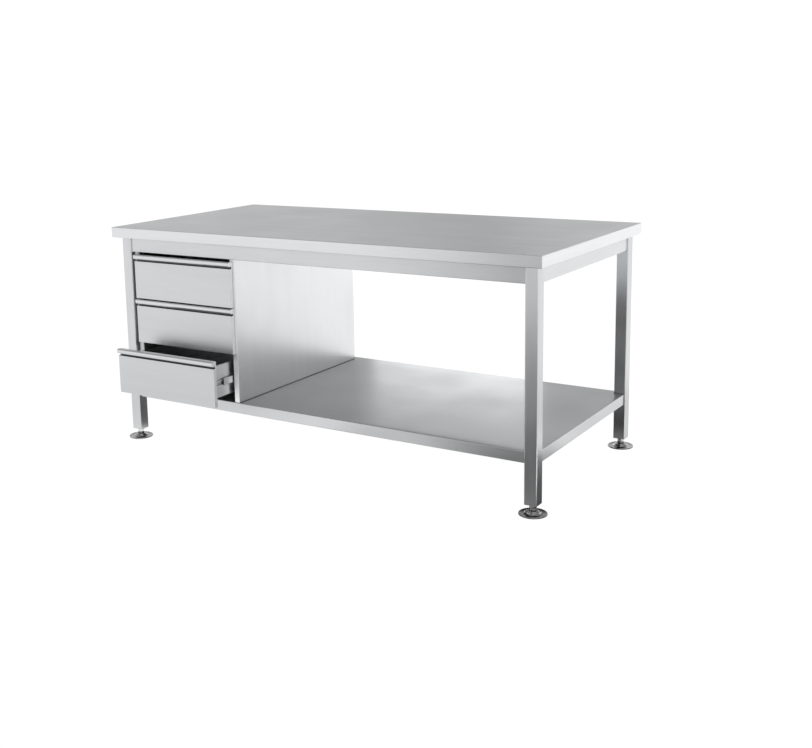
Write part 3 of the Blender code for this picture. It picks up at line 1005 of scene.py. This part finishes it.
def add_slides(level):
    for side, sign in SIDES.items():
        stem = f"drawer_{level}_slide_{side}"
        add_member(f"{stem}_outer", sign < 0)
        add_member(f"{stem}_middle", sign < 0)
        add_member(f"{stem}_inner", sign > 0)
        add_balls(level, side)
        add_slide_screws(level, side, sign)


add_worktop()
add_legs()
add_rails()
add_undershelf()
add_stiffener()
add_welds()
add_feet()
add_drawer_block()
for drawer_level in LEVELS:
    add_front(drawer_level)
    add_box(drawer_level)
    add_slides(drawer_level)


# ----------------------------------------------------------------- light, camera

# The studio's light by compass direction, counter-clockwise from +X in degrees: middle of
# a sector, half-width of its full amount, half-width where it ends, and radiance added
STUDIO_BASE = 0.72
SKY_SECTORS = (
    (-150.0, 46.0, 60.0, 0.36),
    (-45.0, 25.0, 40.0, 0.60),
    (80.0, 17.0, 25.0, 0.50),
    (117.5, 2.5, 7.0, -0.12),
    (129.0, 8.0, 14.0, 0.08),
    (111.8, 1.5, 5.0, 0.26),
    (-103.0, 9.0, 12.5, -0.60),
)
FLOOR_SECTORS = (
    (-150.0, 46.0, 60.0, 0.36),
    (-45.0, 25.0, 40.0, 0.60),
    (60.0, 48.0, 62.0, 0.46),
)
# Between two elevations, in degrees, the sky loses a share of its light. A share below zero
# makes it brighter
SKY_FADES = ((11.0, 26.0, 0.30), (30.0, 50.0, 0.55), (52.0, 70.0, -0.90))
# Shades that only reflections of the floor show: middle, stretch along Y, radius of the
# full shade, radius where it ends, and share of the light lost. A share below zero makes
# the floor brighter
FLOOR_SHADES = (
    (0.95, -1.00, 1.0, 0.45, 0.95, 0.84),
    (1.10, -2.40, 1.0, 0.70, 2.40, 0.80),
    (0.00, 0.00, 1.9, 0.80, 0.98, 0.93),
    (0.98, -0.10, 1.0, 0.28, 0.44, 0.90),
    (1.20, 0.70, 1.0, 0.30, 0.90, 0.20),
    (-1.20, -6.20, 1.0, 0.80, 1.50, 0.80),
    (-1.10, -1.10, 1.0, 0.30, 0.90, 0.14),
    (-0.10, -1.05, 1.0, 0.20, 0.60, -0.20),
    (1.25, -0.60, 1.0, 0.20, 0.42, -4.00),
    (0.76, 0.24, 1.0, 0.18, 0.28, 0.80),
    (1.20, 0.38, 1.0, 0.08, 0.25, -0.35),
)
# The sky seen directly is white, also through the floor, which is nearly clear
SEEN_SKY = 1.12
FLOOR_HALF = 30.0
FLOOR_DROP = 0.0004
FLOOR_CLEARNESS = 0.88
PAPER = (0.9, 0.9, 0.9, 1.0)
# The card in the open bay, upright along X, and its soft edges as shares of its size
FLAG_X = (0.10, 0.90)
FLAG_Y = -0.30
FLAG_Z = (0.235, 0.56)
FLAG_LEFT_EDGE = 0.3
FLAG_RIGHT_EDGE = 0.12
FLAG_TOP_EDGE = 0.5
FLAG_BLACK = (0.01, 0.01, 0.01, 1.0)
# The soft light behind the table, which faces the drawer block
SOFTBOX_PLACE = (-0.47, 1.6, 0.48)
SOFTBOX_TARGET = (-0.47, 0.0, 0.48)
SOFTBOX_SIZE = (0.95, 0.34)
SOFTBOX_RADIANCE = 2.3


def step_between(tree, value, low, high):
    """Rise smoothly from 0 at low to 1 at high."""
    return put(tree, "ShaderNodeMapRange", {"interpolation_type": "SMOOTHSTEP", "clamp": True},
               {"Value": value, "From Min": low, "From Max": high}).outputs[0]


def studio_radiance(tree, direction, sectors):
    """How bright the studio is in a direction: a base with brighter and darker sectors."""
    flat = vector_node(tree, "MULTIPLY", direction, (1, 1, 0)).outputs[0]
    level = vector_node(tree, "NORMALIZE", flat).outputs[0]
    total = STUDIO_BASE
    for middle, full, end, amount in sectors:
        angle = math.radians(middle)
        way = (math.cos(angle), math.sin(angle), 0)
        facing = vector_node(tree, "DOT_PRODUCT", level, way).outputs["Value"]
        starts = math.cos(math.radians(end))
        share = step_between(tree, facing, starts, math.cos(math.radians(full)))
        total = math_node(tree, "ADD", math_node(tree, "MULTIPLY", share, amount), total)
    return total


def add_world():
    world = bpy.data.worlds.new("studio")
    bpy.context.scene.world = world
    world.cycles.sampling_method = "NONE"
    world.use_nodes = True
    tree = world.node_tree
    direction = put(tree, "ShaderNodeTexCoord").outputs["Generated"]
    radiance = studio_radiance(tree, direction, SKY_SECTORS)
    height = put(tree, "ShaderNodeSeparateXYZ", None, {0: direction}).outputs[2]
    for low, high, share in SKY_FADES:
        starts = math.sin(math.radians(low))
        high_up = step_between(tree, height, starts, math.sin(math.radians(high)))
        lost = math_node(tree, "MULTIPLY", high_up, share)
        radiance = math_node(tree, "MULTIPLY", radiance, math_node(tree, "SUBTRACT", 1.0, lost))
    seen = put(tree, "ShaderNodeLightPath").outputs["Is Camera Ray"]
    strength = put(tree, "ShaderNodeMix", {"data_type": "FLOAT"},
                   {"Factor": seen, 2: radiance, 3: SEEN_SKY}).outputs[0]
    feed(tree, tree.nodes["Background"], {"Color": (1, 1, 1, 1), "Strength": strength})


def floor_radiance(tree, place):
    """How bright the floor is at a place, for reflections of it."""
    radiance = studio_radiance(tree, place, FLOOR_SECTORS)
    for x, y, stretch, full, end, share in FLOOR_SHADES:
        offset = vector_node(tree, "SUBTRACT", place, (x, y, 0)).outputs[0]
        shape = vector_node(tree, "MULTIPLY", offset, (1, stretch, 0)).outputs[0]
        away = vector_node(tree, "LENGTH", shape).outputs["Value"]
        gained = math_node(tree, "MULTIPLY", step_between(tree, away, full, end), share)
        kept = math_node(tree, "ADD", gained, 1.0 - share)
        radiance = math_node(tree, "MULTIPLY", radiance, kept)
    return radiance


def mix_shader(tree, factor, first, second):
    inputs = {0: factor, 1: first.outputs[0], 2: second.outputs[0]}
    return put(tree, "ShaderNodeMixShader", None, inputs)


def sheet_of_studio(name, bm):
    """An object for the studio with an empty material, and the material's nodes."""
    mesh = bpy.data.meshes.new(name)
    bm.to_mesh(mesh)
    bm.free()
    material = bpy.data.materials.new(name)
    mesh.materials.append(material)
    tree = node_tree(material)
    tree.nodes.remove(tree.nodes["Principled BSDF"])
    sheet = bpy.data.objects.new(name, mesh)
    bpy.context.scene.collection.objects.link(sheet)
    return sheet, tree


def add_floor():
    """A floor that is nearly clear to the camera, with faint contact shadows.

    Everything else sees it glowing, with painted shades and painted bright patches.
    """
    bm = bmesh.new()
    bmesh.ops.create_grid(bm, x_segments=1, y_segments=1, size=FLOOR_HALF)
    floor, tree = sheet_of_studio("floor", bm)
    floor.location.z = -FLOOR_DROP
    floor.active_material.cycles.emission_sampling = "NONE"
    place = put(tree, "ShaderNodeTexCoord").outputs["Object"]
    strength = {"Strength": floor_radiance(tree, place)}
    reflected = put(tree, "ShaderNodeEmission", None, strength)
    paper = put(tree, "ShaderNodeBsdfDiffuse", None, {"Color": PAPER})
    clear = put(tree, "ShaderNodeBsdfTransparent")
    direct = mix_shader(tree, FLOOR_CLEARNESS, paper, clear)
    seen = put(tree, "ShaderNodeLightPath").outputs["Is Camera Ray"]
    surface = mix_shader(tree, seen, reflected, direct)
    feed(tree, tree.nodes["Material Output"], {"Surface": surface.outputs[0]})


def add_softbox():
    """A rectangular soft light that the camera doesn't see."""
    data = bpy.data.lights.new("softbox_back", "AREA")
    data.shape = "RECTANGLE"
    data.size, data.size_y = SOFTBOX_SIZE
    data.energy = SOFTBOX_RADIANCE * math.pi * data.size * data.size_y
    light = bpy.data.objects.new("softbox_back", data)
    light.location = SOFTBOX_PLACE
    facing = Vector(SOFTBOX_TARGET) - Vector(SOFTBOX_PLACE)
    light.rotation_euler = facing.to_track_quat("-Z", "Y").to_euler()
    light.visible_camera = False
    bpy.context.scene.collection.objects.link(light)


def flag_cover(tree):
    """How black the card is: soft at its left, right and upper edges."""
    place = put(tree, "ShaderNodeTexCoord").outputs["Generated"]
    x, _, z = put(tree, "ShaderNodeSeparateXYZ", None, {0: place}).outputs
    from_right = math_node(tree, "SUBTRACT", 1.0, x)
    from_top = math_node(tree, "SUBTRACT", 1.0, z)
    sides = math_node(tree, "MULTIPLY", step_between(tree, x, 0.0, FLAG_LEFT_EDGE),
                      step_between(tree, from_right, 0.0, FLAG_RIGHT_EDGE))
    return math_node(tree, "MULTIPLY", sides, step_between(tree, from_top, 0.0, FLAG_TOP_EDGE))


def add_flag():
    """A black card inside the open bay, which only reflections in polished steel show: painted
    shade in the back right leg's reflection.
    """
    left, right = FLAG_X
    low, high = FLAG_Z
    corners = ((left, low), (right, low), (right, high), (left, high))
    bm = bmesh.new()
    bm.faces.new([bm.verts.new((x, FLAG_Y, z)) for x, z in corners])
    flag, tree = sheet_of_studio("flag", bm)
    clear = put(tree, "ShaderNodeBsdfTransparent")
    black = put(tree, "ShaderNodeBsdfDiffuse", None, {"Color": FLAG_BLACK})
    card = mix_shader(tree, flag_cover(tree), clear, black)
    feed(tree, tree.nodes["Material Output"], {"Surface": card.outputs[0]})
    flag.visible_camera = False
    flag.visible_shadow = False
    flag.visible_diffuse = False


def add_camera():
    """The camera, as solved from the table's own straight edges."""
    data = bpy.data.cameras.new("camera")
    camera = bpy.data.objects.new("camera", data)
    bpy.context.scene.collection.objects.link(camera)
    camera.location = (2.2845, -3.5866, 1.3738)
    camera.rotation_euler = tuple(math.radians(angle) for angle in (79.67, 1.317, 33.413))
    data.lens = 50.622
    data.sensor_width = 36.0
    data.shift_x = 0.08
    data.shift_y = -0.10
    bpy.context.scene.camera = camera


add_world()
add_floor()
add_softbox()
add_flag()
add_camera()
bpy.context.scene.view_settings.view_transform = "Standard"
